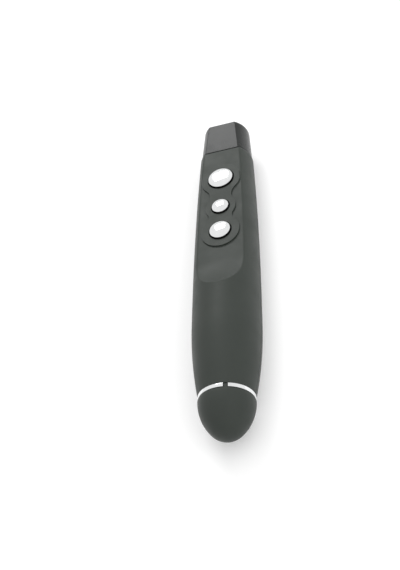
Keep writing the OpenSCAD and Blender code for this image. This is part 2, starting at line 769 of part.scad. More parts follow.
// A tube round a path: rings that halve each corner, joined by triangles, with flat ends
module swept(path, r, sides) {
    last = len(path) - 1;
    rings = [for (i = [0:last])
        let (along = i == 0 || i == last ? [0, 1, 0]
                : unit(unit(path[i + 1] - path[i]) + unit(path[i] - path[i - 1])),
            out = unit([path[i][0], 0, path[i][2]]),
            u = unit(out - (out * along) * along), v = cross(along, u))
        for (k = [0:sides - 1]) path[i] + r * (cos(360 * k / sides) * u + sin(360 * k / sides) * v)];
    polyhedron(rings, concat(
        [[for (k = [0:sides - 1]) k]],
        [for (i = [0:last - 1], k = [0:sides - 1]) let (a = i * sides + k, b = i * sides + (k + 1) % sides)
            each [[a, a + sides, b], [b, a + sides, b + sides]]],
        [[for (k = [sides - 1:-1:0]) last * sides + k]]));
}

spring_gap = min([for (i = [0:len(spring_path) - 1], j = [i + spring_steps - 2:1:len(spring_path) - 1])
    norm(spring_path[i] - spring_path[j])]) - spring_wire;
echo(spring_gap = spring_gap);

module contact_spring() color("silver") placed()
    translate([0, dock_s2 + contact_t, cell_z]) swept(spring_path, spring_wire / 2, 6);

// A contact plate with a tab that is soldered under the board
module contact_plate(s, w) {
    block(w, s, s + contact_t, cell_z - plate_reach, deck_z(s + tab_l, board_d2) - 0.1);
    deck_block(tab_w, s, s + tab_l, board_d2, board_d2 + contact_t);
}

module spring_contact() color("silver") placed() contact_plate(dock_s2, spring_plate_w);
module positive_contact() color("silver") placed() contact_plate(cell_s2, button_plate_w);

// ---- Tail ----

// Docking block: the socket that the receiver's plug parks in
module dock_block() color("darkslategray") placed() difference() {
    collar = barrel_r(cavity_s) - wall - seat_gap;
    union() {
        rod(neck_r - seat_gap, ring_s, dock_s2, fn = round_fn);
        intersection() {
            rod(collar, cavity_s + 0.5 + seat_gap, dock_s2, fn = round_fn);
            block(big, 0, big, seat_gap + wall - axis_h, big);
        }
    }
    slot_z = plug_h / 2 + plug_gap;
    block(plug_w + 2 * plug_gap, ring_s - 1, dock_s2 - dock_floor, -slot_z, slot_z);
}

module at_break() rotate([0, break_turn, 0]) children();

// Chrome ring over the tail of both casing halves, open where the receiver's key goes in
module trim_ring() color("silver") placed() difference() {
    rod(tail_r, ring_s, case_s, fn = round_fn);
    rod(tail_r - ring_t, ring_s - 1, case_s + 1, fn = round_fn);
    at_break() block(ring_break, 0, case_s + 1, 0, big);
}

// Half section of the dome drawn in by inset: a side arc that meets a round tip
module dome_section(inset) {
    run = dome_l - dome_tip_r;
    side_arc = (tail_r * tail_r + run * run - dome_tip_r * dome_tip_r) / (2 * (tail_r - dome_tip_r));
    side_c = [tail_r - side_arc, dome_l];
    tip_c = [0, dome_tip_r];
    meet = tip_c + (dome_tip_r - inset) * unit(tip_c - side_c);
    intersection() {
        translate([0, meet[1]]) square([big, dome_l - meet[1]]);
        translate(side_c) circle(r = side_arc - inset, $fn = 4 * round_fn);
    }
    intersection() {
        square([big, meet[1]]);
        translate(tip_c) circle(r = dome_tip_r - inset, $fn = 2 * round_fn);
    }
}

module receiver_dome() color("dimgray") placed() {
    difference() {
        revolved() dome_section(0);
        revolved() dome_section(dome_wall);
        rod(tail_r - dome_wall, dome_l - base_t, dome_l + 1, fn = round_fn);
    }
    at_break() block(ring_break - 2 * run_gap, dome_l - 1, case_s - run_gap,
        tail_r - ring_t, tail_r - ring_t + key_h);
}

module receiver_base() color("darkslategray") placed() difference() {
    slot_z = plug_h / 2 + fit_gap;
    rod(tail_r - dome_wall - fit_gap, dome_l - base_t, dome_l, fn = round_fn);
    block(plug_w + 2 * fit_gap, 0, big, -slot_z, slot_z);
}

plug_s2 = dome_l + plug_l;

module usb_shield() color("silver") placed() difference() {
    block(plug_w, dome_l - shield_in, plug_s2, -plug_h / 2, plug_h / 2);
    block(plug_w - 2 * plug_t, 0, big, plug_t - plug_h / 2, plug_h / 2 - plug_t);
    for (side = [-1, 1], face = [-1, 1]) translate([side * catch_x, plug_s2 - catch_back, face * plug_h / 2])
        cube([catch_w, catch_l, 2], center = true);
}

tongue_z = plug_t + tongue_t - plug_h / 2;   // top of the tongue and of the receiver's board

module usb_tongue() color("white") placed()
    block(plug_w - 2 * plug_t - 2 * fit_gap, dome_l - board_seat, plug_s2 - plug_t,
        plug_t + fit_gap - plug_h / 2, tongue_z);

module usb_contacts() color("gold") placed() for (x = pads_x) translate([x, 0, 0])
    block(pad_w, dome_l, plug_s2 - pad_back, tongue_z, tongue_z + pad_t);

module receiver_board() color("darkgreen") placed()
    block(receiver_board_w, receiver_board_s1, dome_l - board_seat, tongue_z - receiver_board_t, tongue_z);

// A part on the receiver's board, set in from one side of it
module receiver_part(side, size) {
    x = side * (receiver_board_w / 2 - receiver_edge - size[0] / 2);
    translate([x, receiver_board_s1 + receiver_end, tongue_z]) block(size[0], 0, size[1], 0, size[2]);
}

module receiver_chip() color("black") placed()
    receiver_part(-1, [receiver_chip_w, receiver_chip_w, receiver_chip_h]);

module receiver_crystal() color("silver") placed()
    receiver_part(1, [receiver_can_w, receiver_can_l, receiver_can_h]);

upper_shell();
lower_shell();
battery_cover();
trim_ring();
nose_cap();
laser_window();
laser_barrel();
lens_nut();
collimating_lens();
laser_diode();
laser_button();
laser_plunger();
laser_switch();
forward_button();
forward_plunger();
forward_switch();
back_button();
back_plunger();
back_switch();
main_board();
radio_chip();
control_chip();
board_crystal();
board_parts();
antenna();
aaa_cell();
contact_spring();
spring_contact();
positive_contact();
dock_block();
case_screws();
receiver_dome();
receiver_base();
usb_shield();
usb_tongue();
usb_contacts();
receiver_board();
receiver_chip();
receiver_crystal();
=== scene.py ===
# Looks of the presentation clicker: finishes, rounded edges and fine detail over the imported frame.
# Lengths are in metres, in the frame's own axes: +Y to the laser tip, +Z up out of the buttons.
import json
import math

import bmesh
import bpy
from mathutils import Matrix, Vector


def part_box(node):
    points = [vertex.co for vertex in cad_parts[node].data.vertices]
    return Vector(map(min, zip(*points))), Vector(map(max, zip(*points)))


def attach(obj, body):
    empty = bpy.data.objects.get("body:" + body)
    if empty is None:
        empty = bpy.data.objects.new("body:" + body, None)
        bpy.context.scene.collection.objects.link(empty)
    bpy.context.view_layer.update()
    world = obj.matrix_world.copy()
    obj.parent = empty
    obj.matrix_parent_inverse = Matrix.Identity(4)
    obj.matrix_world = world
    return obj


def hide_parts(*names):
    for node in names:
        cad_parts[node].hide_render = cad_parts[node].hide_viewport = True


mm = 0.001

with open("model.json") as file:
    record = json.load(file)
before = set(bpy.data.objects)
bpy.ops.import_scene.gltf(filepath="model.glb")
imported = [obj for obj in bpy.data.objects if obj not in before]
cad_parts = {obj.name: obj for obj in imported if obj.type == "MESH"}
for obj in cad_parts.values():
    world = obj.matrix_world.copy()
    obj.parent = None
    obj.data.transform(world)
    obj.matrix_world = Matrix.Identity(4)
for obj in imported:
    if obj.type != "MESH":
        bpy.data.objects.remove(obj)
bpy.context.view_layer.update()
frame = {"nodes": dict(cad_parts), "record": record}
nodes = frame["nodes"]
bodyOf = {node: body for body, members in frame["record"]["behaviour"]["bodies"].items() for node in members}
print("frame loaded:", len(nodes), "nodes")

scene = bpy.context.scene
scene.view_settings.view_transform = "Standard"

# Stations along the pen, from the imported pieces
ringLow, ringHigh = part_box("trim_ring")
shoulderY = ringHigh.y            # where the casing starts, in front of the trim ring
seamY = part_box("upper_shell")[1].y  # joint of casing and nose
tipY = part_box("nose_cap")[1].y
axisZ = (ringLow.z + ringHigh.z) / 2
beamZ = (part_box("laser_window")[0].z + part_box("laser_window")[1].z) / 2

# Where the photograph was taken from
photoCamera = {
    "place": (68.3 * mm, -193.0 * mm, 230.2 * mm),
    "turn": (39.23, 18.55, 1.20),  # degrees about X, Y, Z
    "lens": 56.6,
    "sensor": 36,                  # along the picture's long side
    "clipStart": 5 * mm,
}
cameraData = bpy.data.cameras.new("photoCamera")
cameraData.lens = photoCamera["lens"]
cameraData.sensor_width = photoCamera["sensor"]
cameraData.clip_start = photoCamera["clipStart"]
camera = bpy.data.objects.new("photoCamera", cameraData)
camera.location = photoCamera["place"]
camera.rotation_euler = [math.radians(a) for a in photoCamera["turn"]]
scene.collection.objects.link(camera)
scene.camera = camera


# Mesh tools
weld = 0.001 * mm  # points closer than this are one
hair = 0.01 * mm   # the least that keeps two faces apart
past = 1 * mm      # how far a cutter reaches beyond what it cuts


def onMesh(bm, matrix):
    bmesh.ops.transform(bm, matrix=matrix, verts=bm.verts)
    return bm


def tidied(bm):
    bmesh.ops.remove_doubles(bm, verts=bm.verts, dist=weld)
    bmesh.ops.dissolve_degenerate(bm, edges=bm.edges, dist=weld / 2)
    bmesh.ops.recalc_face_normals(bm, faces=bm.faces)
    return bm


def linked(bm, name):
    mesh = bpy.data.meshes.new(name)
    bm.to_mesh(mesh)
    bm.free()
    piece = bpy.data.objects.new(name, mesh)
    scene.collection.objects.link(piece)
    return piece


def carved(base, tool, how):
    kept = linked(base, "carvedBase")
    knife = linked(tool, "carvedTool")
    cut = kept.modifiers.new("cut", "BOOLEAN")
    cut.object = knife
    cut.operation = how
    cut.solver = "MANIFOLD"
    graph = bpy.context.evaluated_depsgraph_get()
    result = bmesh.new()
    result.from_mesh(kept.evaluated_get(graph).to_mesh())
    for spent in (kept, knife):
        mesh = spent.data
        bpy.data.objects.remove(spent)
        bpy.data.meshes.remove(mesh)
    return result


# Merges away the slivers that a cut leaves
def combed(bm):
    bmesh.ops.dissolve_degenerate(bm, edges=bm.edges, dist=weld / 5)
    return bm


def cadCopy(node):
    bm = bmesh.new()
    bm.from_mesh(nodes[node].data)
    bmesh.ops.remove_doubles(bm, verts=bm.verts, dist=weld / 2)
    return bm


# Moves the outside of a packed copy out, so that only the skin that it is cut with shows
def swollen(bm, height, radius, belly, by=0.2 * mm, near=0.12 * mm):
    for v in bm.verts:
        x, z = v.co.x, v.co.z - axisZ
        reach = math.hypot(x, z)
        if reach > radius(v.co.y) - near:
            v.co += Vector((x, 0, z)) * (by / reach)
        elif z > height(v.co.y) - near:
            v.co.z += by
        elif v.co.z < belly + near:
            v.co.z -= by
    return bm


def creases(bm, degrees, where=None):
    limit = math.radians(degrees)
    return [e for e in bm.edges if len(e.link_faces) == 2 and e.calc_face_angle(0) > limit
            and (where is None or all(where(v.co) for v in e.verts))]


def bevelled(bm, edges, width, segments):
    bmesh.ops.bevel(bm, geom=edges, offset=width, offset_type="OFFSET", affect="EDGES", segments=segments,
                    profile=0.5, material=-1, clamp_overlap=True)
    return bm


def softened(bm, width, degrees=30, where=None, segments=3):
    return bevelled(bm, creases(bm, degrees, where), width, segments)


def chain(bm, points):
    verts = [bm.verts.new(p) for p in points]
    for a, b in zip(verts, verts[1:]):
        bm.edges.new((a, b))
    return verts


# Turns a profile of (radius, height) points round the Z axis
def turned(points, steps=96):
    bm = bmesh.new()
    chain(bm, [(r, 0, z) for r, z in points])
    bmesh.ops.spin(bm, geom=bm.verts[:] + bm.edges[:], cent=(0, 0, 0), axis=(0, 0, 1), dvec=(0, 0, 0),
                   angle=2 * math.pi, steps=steps, use_merge=True)
    return tidied(bm)


def arcPoints(centre, radius, start, end, steps):
    turns = [math.radians(start + (end - start) * i / steps) for i in range(steps + 1)]
    return [(centre[0] + radius * math.cos(a), centre[1] + radius * math.sin(a)) for a in turns]


# Turns a form made round Z so that it lies along the pen, from station y
def alongPen(y, z=axisZ):
    return Matrix.Translation((0, y, z)) @ Matrix.Rotation(math.radians(-90), 4, "X")


def blockMesh(low, high):
    bm = bmesh.new()
    bmesh.ops.create_cube(bm, size=1)
    size = Vector(high) - Vector(low)
    return onMesh(bm, Matrix.Translation((Vector(high) + Vector(low)) / 2) @ Matrix.Diagonal((*size, 1)))


# A closed form through rings, each a station and its points round the axis
def lofted(rings):
    around = len(rings[0][1])
    bm = bmesh.new()
    bmesh.ops.create_grid(bm, x_segments=around, y_segments=len(rings) - 1, size=0.5)
    for v in bm.verts:
        y, points = rings[round((v.co.y + 0.5) * (len(rings) - 1))]
        x, z = points[round((v.co.x + 0.5) * around) % around]
        v.co = (x, y, axisZ + z)
    bmesh.ops.remove_doubles(bm, verts=bm.verts, dist=2 * weld)
    bmesh.ops.holes_fill(bm, edges=[e for e in bm.edges if e.is_boundary])
    bmesh.ops.recalc_face_normals(bm, faces=bm.faces)
    return bm


# Gives a finished mesh its object, finish and body
def shown(bm, name, material, replaced, crease=32):
    for face in bm.faces:
        face.smooth = True
    for edge in bm.edges:
        edge.smooth = len(edge.link_faces) == 2 and edge.calc_face_angle(0) < math.radians(crease)
    piece = linked(bm, name)
    for m in material if isinstance(material, list) else [material]:
        piece.data.materials.append(m)
    evened = piece.modifiers.new("evenedShading", "WEIGHTED_NORMAL")
    evened.keep_sharp = True
    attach(piece, bodyOf[replaced])
    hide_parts(replaced)
    return piece


# Shared surface effects
def effectGroup(title, inputs, outputs):
    group = bpy.data.node_groups.new(title, "ShaderNodeTree")
    for name, value in inputs.items():
        socket = group.interface.new_socket(name, in_out="INPUT", socket_type="NodeSocketFloat")
        socket.default_value = value
    for name in outputs:
        group.interface.new_socket(name, in_out="OUTPUT", socket_type="NodeSocketFloat")
    return group, group.nodes.new("NodeGroupInput"), group.nodes.new("NodeGroupOutput")


def mathNode(tree, kind, a, b=None, clamp=False):
    node = tree.nodes.new("ShaderNodeMath")
    node.operation = kind
    node.use_clamp = clamp
    for socket, value in zip(node.inputs, (a, b)):
        if isinstance(value, (int, float)):
            socket.default_value = value
        elif value is not None:
            tree.links.new(value, socket)
    return node.outputs[0]


def noiseNode(tree, place, scale, detail=3.0, roughness=0.5):
    node = tree.nodes.new("ShaderNodeTexNoise")
    tree.links.new(place, node.inputs["Vector"])
    for socket, value in (("Scale", scale), ("Detail", detail), ("Roughness", roughness)):
        if isinstance(value, (int, float)):
            node.inputs[socket].default_value = value
        else:
            tree.links.new(value, node.inputs[socket])
    return node.outputs["Fac"]


def moulded(fineShare=0.4):
    sizes = {"Scale": 4000.0, "Blotch": 120.0}
    group, given, result = effectGroup("mouldedGrain", sizes, ["Height", "Shade"])
    place = group.nodes.new("ShaderNodeTexCoord").outputs["Object"]
    fine = noiseNode(group, place, given.outputs["Scale"], 4.0, 0.6)
    broad = noiseNode(group, place, given.outputs["Blotch"], 3.0, 0.55)
    group.links.new(fine, result.inputs["Height"])
    mixed = mathNode(group, "ADD", mathNode(group, "MULTIPLY", fine, fineShare),
                     mathNode(group, "MULTIPLY", broad, 1 - fineShare))
    group.links.new(mixed, result.inputs["Shade"])
    return group


# Outer edges, found by how little material lies just behind the surface
def rubbed(flatReading=0.12, leastWear=0.1):
    sizes = {"Reach": 0.25 * mm, "Sharpness": 2.2, "Breakup": 900.0}
    group, given, result = effectGroup("rubbedEdges", sizes, ["Mask"])
    place = group.nodes.new("ShaderNodeTexCoord").outputs["Object"]
    behind = group.nodes.new("ShaderNodeAmbientOcclusion")
    behind.inside = True
    behind.only_local = True
    behind.samples = 6
    group.links.new(given.outputs["Reach"], behind.inputs["Distance"])
    hollow = mathNode(group, "SUBTRACT", 1.0, behind.outputs["AO"])
    thin = mathNode(group, "SUBTRACT", hollow, flatReading)
    raised = mathNode(group, "MULTIPLY", thin, given.outputs["Sharpness"], True)
    patchy = noiseNode(group, place, given.outputs["Breakup"], 4.0, 0.6)
    worn = mathNode(group, "MULTIPLY", raised, mathNode(group, "ADD", patchy, leastWear), True)
    group.links.new(worn, result.inputs["Mask"])
    return group


def handled(clear=0.42, greasy=0.7):
    group, given, result = effectGroup("handling", {"Scale": 90.0}, ["Smudge"])
    place = group.nodes.new("ShaderNodeTexCoord").outputs["Object"]
    cloud = noiseNode(group, place, given.outputs["Scale"], 5.0, 0.65)
    spread = group.nodes.new("ShaderNodeMapRange")
    group.links.new(cloud, spread.inputs["Value"])
    spread.inputs["From Min"].default_value = clear
    spread.inputs["From Max"].default_value = greasy
    group.links.new(spread.outputs["Result"], result.inputs["Smudge"])
    return group


grainGroup, edgeGroup, smudgeGroup = moulded(), rubbed(), handled()


def placed(tree, group, **values):
    node = tree.nodes.new("ShaderNodeGroup")
    node.node_tree = group
    for socket, value in values.items():
        node.inputs[socket].default_value = value
    return node


usualLook = {"blotch": 120.0, "smudge": 90.0, "metallic": 0.0, "bump": 0.1, "depth": 0.01, "sockets": {}}


# A finish with grain, blotches, rubbed edges and handling marks, each in the strength it is given
def finish(name, given):
    look = {**usualLook, "worn": given["light"], **given}
    material = bpy.data.materials.new(name)
    material.use_nodes = True
    tree = material.node_tree
    shader = tree.nodes["Principled BSDF"]
    for socket, value in look["sockets"].items():
        shader.inputs[socket].default_value = value
    grain = placed(tree, grainGroup, Scale=look["grain"], Blotch=look["blotch"])
    smudge = placed(tree, smudgeGroup, Scale=look["smudge"])
    edges = placed(tree, edgeGroup)
    tone = tree.nodes.new("ShaderNodeMix")
    tone.data_type = "RGBA"
    tone.inputs["A"].default_value = (*look["dark"], 1)
    tone.inputs["B"].default_value = (*look["light"], 1)
    tree.links.new(grain.outputs["Shade"], tone.inputs["Factor"])
    worn = tree.nodes.new("ShaderNodeMix")
    worn.data_type = "RGBA"
    worn.inputs["B"].default_value = (*look["worn"], 1)
    tree.links.new(edges.outputs["Mask"], worn.inputs["Factor"])
    tree.links.new(tone.outputs["Result"], worn.inputs["A"])
    tree.links.new(worn.outputs["Result"], shader.inputs["Base Color"])
    low, high = look["roughness"]
    sheen = mathNode(tree, "ADD", mathNode(tree, "MULTIPLY", smudge.outputs["Smudge"], high - low), low)
    tree.links.new(sheen, shader.inputs["Roughness"])
    shader.inputs["Metallic"].default_value = look["metallic"]
    bump = tree.nodes.new("ShaderNodeBump")
    bump.inputs["Strength"].default_value = look["bump"]
    bump.inputs["Distance"].default_value = look["depth"] * mm
    tree.links.new(grain.outputs["Height"], bump.inputs["Height"])
    tree.links.new(bump.outputs["Normal"], shader.inputs["Normal"])
    return material


looks = {
    "softCoat": {"dark": (0.032, 0.0375, 0.0325), "light": (0.043, 0.0495, 0.044),
                 "worn": (0.066, 0.072, 0.067), "grain": 5200.0, "roughness": (0.44, 0.56), "bump": 0.25,
                 "depth": 0.02, "sockets": {"Specular IOR Level": 0.2}},
    "glossShell": {"dark": (0.016, 0.018, 0.017), "light": (0.021, 0.023, 0.022),
                   "worn": (0.14, 0.145, 0.14), "grain": 900.0, "roughness": (0.24, 0.32), "bump": 0.03,
                   "sockets": {"Specular IOR Level": 0.16}},
    "chromePlate": {"dark": (0.68, 0.69, 0.69), "light": (0.88, 0.89, 0.89), "grain": 1500.0, "blotch": 420.0,
                    "metallic": 1.0, "roughness": (0.06, 0.16), "bump": 0.04},
    # Button wall: near-black painted shade of the gap round each button, with a painted reflection of the
    # dark deck
    "keyWallPaintedShade": {"dark": (0.004, 0.004, 0.004), "light": (0.007, 0.007, 0.007), "grain": 1500.0,
                 "roughness": (0.3, 0.4), "sockets": {"Specular IOR Level": 0.3}},
    "brassPlain": {"dark": (0.55, 0.38, 0.15), "light": (0.68, 0.50, 0.22), "grain": 2500.0, "metallic": 1.0,
                   "roughness": (0.22, 0.38), "bump": 0.1},
    "nickel": {"dark": (0.62, 0.61, 0.58), "light": (0.74, 0.73, 0.70), "grain": 3000.0, "metallic": 1.0,
               "roughness": (0.2, 0.34), "bump": 0.1},
    "springWire": {"dark": (0.55, 0.55, 0.54), "light": (0.68, 0.68, 0.67), "grain": 3500.0, "metallic": 1.0,
                   "roughness": (0.25, 0.4), "bump": 0.1},
    "brownPlastic": {"dark": (0.11, 0.035, 0.014), "light": (0.15, 0.05, 0.02), "grain": 3000.0,
                     "roughness": (0.4, 0.5)},
    "switchPlastic": {"dark": (0.016, 0.016, 0.017), "light": (0.024, 0.024, 0.025), "grain": 4000.0,
                      "roughness": (0.45, 0.6)},
    "innerPlastic": {"dark": (0.020, 0.020, 0.020), "light": (0.030, 0.030, 0.030), "grain": 3500.0,
                     "roughness": (0.38, 0.52), "bump": 0.2, "depth": 0.02},
    "chipPackage": {"dark": (0.012, 0.012, 0.013), "light": (0.022, 0.022, 0.023), "grain": 6000.0,
                    "roughness": (0.5, 0.62), "bump": 0.3, "depth": 0.02},
    "ceramic": {"dark": (0.30, 0.21, 0.12), "light": (0.42, 0.31, 0.19), "grain": 3000.0,
                "roughness": (0.35, 0.5)},
    "goldPlate": {"dark": (0.80, 0.55, 0.20), "light": (0.88, 0.64, 0.28), "grain": 2500.0, "metallic": 1.0,
                  "roughness": (0.15, 0.28)},
    "whitePlastic": {"dark": (0.74, 0.74, 0.71), "light": (0.80, 0.80, 0.77), "grain": 3000.0,
                     "roughness": (0.35, 0.45)},
    "cellJacket": {"dark": (0.022, 0.075, 0.20), "light": (0.030, 0.095, 0.24), "grain": 1200.0,
                   "roughness": (0.2, 0.3), "sockets": {"Coat Weight": 0.3}},
    "cellBand": {"dark": (0.50, 0.50, 0.48), "light": (0.60, 0.60, 0.58), "grain": 1200.0, "metallic": 0.6,
                 "roughness": (0.25, 0.35)},
    "solderMask": {"dark": (0.006, 0.060, 0.024), "light": (0.010, 0.085, 0.034), "grain": 2500.0,
                   "roughness": (0.25, 0.35)},
}
finishes = {name: finish(name, look) for name, look in looks.items()}


# Solder-masked board: copper tracks show through the green as lighter lines
trackLook = {"scale": 260.0, "width": 0.06, "colour": (0.03, 0.17, 0.06)}


def addTracks(material):
    tree = material.node_tree
    shader = tree.nodes["Principled BSDF"]
    tracks = tree.nodes.new("ShaderNodeTexBrick")
    tracks.inputs["Scale"].default_value = trackLook["scale"]
    tracks.inputs["Mortar Size"].default_value = trackLook["width"]
    tree.links.new(tree.nodes.new("ShaderNodeTexCoord").outputs["Object"], tracks.inputs["Vector"])
    copper = tree.nodes.new("ShaderNodeMix")
    copper.data_type = "RGBA"
    copper.inputs["B"].default_value = (*trackLook["colour"], 1)
    base = shader.inputs["Base Color"].links[0].from_socket
    tree.links.new(base, copper.inputs["A"])
    tree.links.new(tracks.outputs["Fac"], copper.inputs["Factor"])
    tree.links.new(copper.outputs["Result"], shader.inputs["Base Color"])


# Clear window and lens, with a faint tint and fine polishing marks
glassLooks = {
    "windowGlass": {"tint": (0.92, 0.94, 0.95), "roughness": (0.01, 0.05)},
    "lensGlass": {"tint": (0.90, 0.93, 0.99), "roughness": (0.0, 0.03)},
}
glassBend = 1.49  # refractive index of acrylic
polishScale = 400.0


def glassFinish(name, look):
    material = bpy.data.materials.new(name)
    material.use_nodes = True
    tree = material.node_tree
    shader = tree.nodes["Principled BSDF"]
    shader.inputs["Base Color"].default_value = (*look["tint"], 1)
    shader.inputs["Transmission Weight"].default_value = 1.0
    shader.inputs["IOR"].default_value = glassBend
    polish = placed(tree, smudgeGroup, Scale=polishScale)
    low, high = look["roughness"]
    marks = mathNode(tree, "ADD", mathNode(tree, "MULTIPLY", polish.outputs["Smudge"], high - low), low)
    tree.links.new(marks, shader.inputs["Roughness"])
    return material


addTracks(finishes["solderMask"])
for name, look in glassLooks.items():
    finishes[name] = glassFinish(name, look)
print("finishes made:", len(finishes))

# Casing: one rounded skin for both halves and the cover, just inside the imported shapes
casing = {
    "tailRadius": 8.9 * mm,
    "gripRadius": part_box("upper_shell")[1].x,
    "seamRadius": 9.7 * mm,
    "swell": 26 * mm,        # length over which the tail swells
    "grip": 10 * mm,         # length at full radius
    "deckLength": 52.7 * mm,
    "deckHeight": 7.1 * mm,  # over the axis, at the nose
    "deckTilt": 0.7,         # degrees, rising to the tail
    "runout": 23 * mm,       # radius of the curve that ends the deck
    "runoutReach": 0.9,      # of that radius: the curve meets the barrel within it
    "skin": 0.02 * mm,
    "deckRound": 1.2 * mm,
    "bellyRound": 0.8 * mm,
    "endRound": 0.25 * mm,
    "endGap": 0.07 * mm,     # half of the gap at the nose
    "parting": 0.12 * mm,    # groove between the two halves
    "spacing": 1.5 * mm,     # of the stations along the barrel
    "runoutSteps": 18,
    "bellyReach": 5 * mm,    # closer stations where the belly flat starts and ends
    "bellySteps": 7,
    "spigotDrop": 0.4 * mm,  # of the part that the ring sits on
}
tilt = math.radians(casing["deckTilt"])
swellY = shoulderY + casing["swell"]
taperY = swellY + casing["grip"]
deckY = seamY - casing["deckLength"]


def fallFrom(run, length, drop):
    arc = (length * length + drop * drop) / (2 * drop)
    return arc - math.sqrt(arc * arc - run * run)


def barrelRadius(y):
    full = casing["gripRadius"]
    if y < swellY:
        return full - fallFrom(swellY - y, casing["swell"], full - casing["tailRadius"])
    if y > taperY:
        return full - fallFrom(y - taperY, seamY - taperY, full - casing["seamRadius"])
    return full


def deckPlane(y):
    return casing["deckHeight"] + (seamY - y) * math.tan(tilt)


def deckHeight(y):
    centreY = deckY + casing["runout"] * math.sin(tilt)
    if y >= deckY:
        return deckPlane(y)
    if centreY - y >= casing["runout"]:
        return math.inf  # no deck behind its curve
    lift = casing["runout"] * math.cos(tilt) - math.sqrt(casing["runout"] ** 2 - (centreY - y) ** 2)
    return deckPlane(deckY) + lift


# Right half of a section: flat, rounded corner, side with the parting groove, corner and belly
def halfSection(radius, top, low, topRound, lowRound, groove, steps=(8, 6, 22, 5, 5)):
    def corner(height, rounding):
        if height >= radius:
            return 0.0, 0.0
        reach = math.sqrt((radius - rounding) ** 2 - (height - rounding) ** 2)
        return reach, math.atan2(reach, height - rounding)

    def flatAndCorner(height, rounding, flatSteps, cornerSteps):
        reach, turn = corner(height, rounding)
        level = min(height, radius)
        points = [(reach * i / flatSteps, level) for i in range(flatSteps)]
        for i in range(cornerSteps + 1):
            a = turn * i / cornerSteps
            points.append((reach + rounding * math.sin(a), level - rounding + rounding * math.cos(a)))
        if not reach:
            points = [(0.0, level)] * len(points)
        return points, turn

    topFlat, topCorner, side, lowCorner, lowFlat = steps
    upper, topTurn = flatAndCorner(top, topRound, topFlat, topCorner)
    lower, lowTurn = flatAndCorner(low, lowRound, lowFlat, lowCorner)
    lip = groove / radius
    span = math.pi / 2 - lip
    points = list(upper)
    points += [(radius * math.sin(a), radius * math.cos(a))
               for a in (topTurn + (span - topTurn) * i / side for i in range(1, side + 1))]
    points.append((radius - groove, 0.0))
    points += [(radius * math.sin(a), -radius * math.cos(a))
               for a in (span - (span - lowTurn) * i / side for i in range(side))]
    points += [(x, -z) for x, z in reversed(lower)]
    return points


def wholeSection(half):
    return half + [(-x, z) for x, z in reversed(half[1:-1])]


def crossing(low, high, difference):
    for _ in range(50):
        middle = (low + high) / 2
        if (difference(low) > 0) == (difference(middle) > 0):
            low = middle
        else:
            high = middle
    return (low + high) / 2


# Stations of the casing, closer together where the deck and the belly flat start and end
def casingStations():
    runoutLow = deckY - casing["runout"] * casing["runoutReach"]
    runoutY = crossing(runoutLow, deckY, lambda y: deckHeight(y) - barrelRadius(y))
    bellyRear = crossing(shoulderY, swellY, lambda y: barrelRadius(y) - axisZ)
    bellyFront = crossing(taperY, seamY, lambda y: barrelRadius(y) - axisZ)
    steps = round((seamY - shoulderY) / casing["spacing"])
    stations = [shoulderY + (seamY - shoulderY) * i / steps for i in range(1, steps)]
    belly, bellySteps = casing["bellyReach"], casing["bellySteps"]
    for start, reach, count in ((runoutY, deckY - runoutY, casing["runoutSteps"]),
                                (bellyRear, belly, bellySteps), (bellyFront, -belly, bellySteps)):
        stations = [y for y in stations if not min(start, start + reach) <= y <= max(start, start + reach)]
        stations += [start + reach * (i / count) ** 2 for i in range(count + 1)]
    return sorted(stations)


def casingRing(y, inset=0.0):
    drawn = inset + casing["skin"]
    half = halfSection(barrelRadius(y) - drawn, deckHeight(y) - drawn, axisZ - drawn, casing["deckRound"],
                       casing["bellyRound"], casing["parting"])
    return y, wholeSection(half)


def plainRing(y, radius, like):
    return y, [(radius * math.sin(2 * math.pi * i / like), radius * math.cos(2 * math.pi * i / like))
               for i in range(like)]


def casingSkin():
    around = len(casingRing(seamY)[1])
    end = casing["endRound"]
    turns = [math.radians(a) for a in (0, 30, 60, 90)]
    rear = [casingRing(shoulderY + hair + end * (1 - math.cos(a)), end * (1 - math.sin(a))) for a in turns]
    front = [casingRing(seamY - casing["endGap"] - end * (1 - math.cos(a)), end * (1 - math.sin(a)))
             for a in reversed(turns)]
    spigot = [plainRing(y, casing["tailRadius"] - casing["spigotDrop"], around)
              for y in (ringLow.y - past, shoulderY + hair)]
    middle = [casingRing(y) for y in casingStations()]
    return lofted(spigot + rear + middle + front)


# Raised land round the buttons
buttons = {
    "laser": {"back": 15.2 * mm, "width": 8.9 * mm, "rim": 2.7 * mm},
    "forward": {"back": 29.0 * mm, "width": 6.0 * mm, "rim": 2.4 * mm},
    "back": {"back": 40.1 * mm, "width": 7.3 * mm, "rim": 3.1 * mm},
}
land = {
    "rise": 0.5 * mm,
    "frontWaist": 5 * mm,
    "rearWaist": 3 * mm,
    "steps": (20, 10, 10, 12, 24),  # of the outline's arcs, from the rear
    "edge": 0.2 * mm,
    "sharp": 15,                    # degrees, from which an edge is rounded
    "gap": 0.3 * mm,                # round a button
    "rimRound": 0.2 * mm,
    "barrelInset": 0.07 * mm,       # where the barrel's side trims the land
    "stations": 80,
    "around": 120,
}


def onDeck(back):
    y = seamY - back
    return Matrix.Translation((0, y, axisZ + deckPlane(y))) @ Matrix.Rotation(-tilt, 4, "X")


def angleTo(start, end):
    return math.atan2(end.y - start.y, end.x - start.x)


